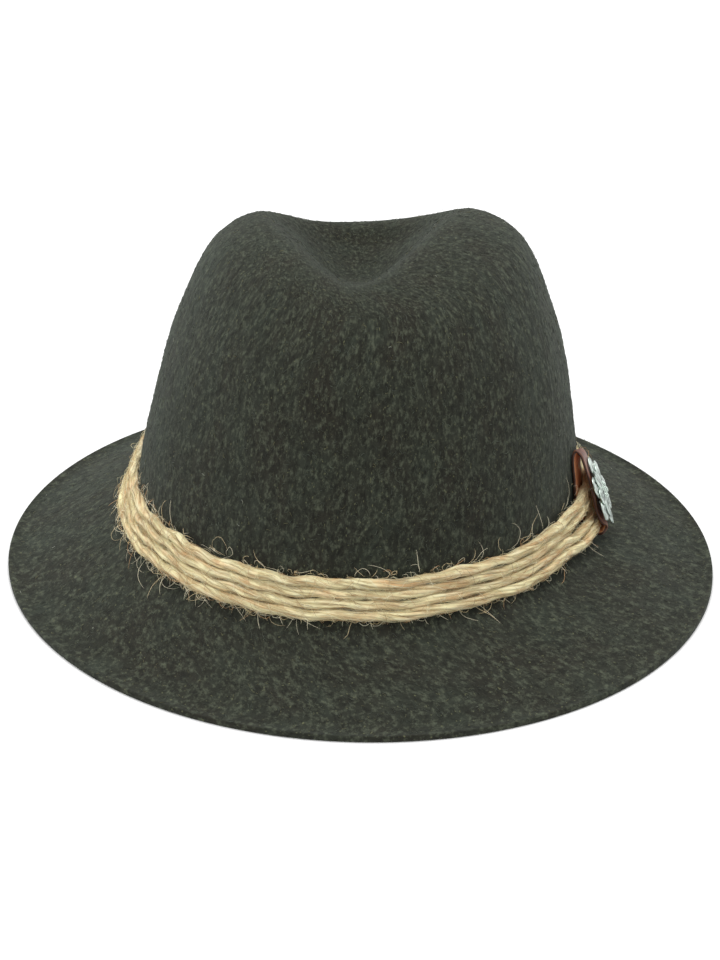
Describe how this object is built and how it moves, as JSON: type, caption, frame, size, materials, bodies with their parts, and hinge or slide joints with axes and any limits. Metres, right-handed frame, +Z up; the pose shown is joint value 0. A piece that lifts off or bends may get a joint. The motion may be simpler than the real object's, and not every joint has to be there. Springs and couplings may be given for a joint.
{
  "type": "tyrolean hat",
  "caption": "Wool felt Tyrolean hat with a dented crown, a drooping brim, a fibre cord band, a leather sleeve and a metal flower.",
  "frame": {"origin": "bottom centre of the hat, on the plane that the brim's edge rests on", "axes": "+Z up through the crown, -Y towards the front, +X towards the wearer's left, where the leather sleeve is"},
  "size_m": [0.2576, 0.3028, 0.1326],
  "materials": {
    "felt": "matte",
    "cord": "matte",
    "leather": "satin",
    "metal": "satin"
  },
  "bodies": {
    "root": {"felt_body": "felt", "cord_strand_1": "cord", "cord_strand_2": "cord", "cord_strand_3": "cord", "cord_strand_4": "cord", "leather_sleeve": "leather", "edelweiss_pin": "metal"}
  },
  "joints": []
}
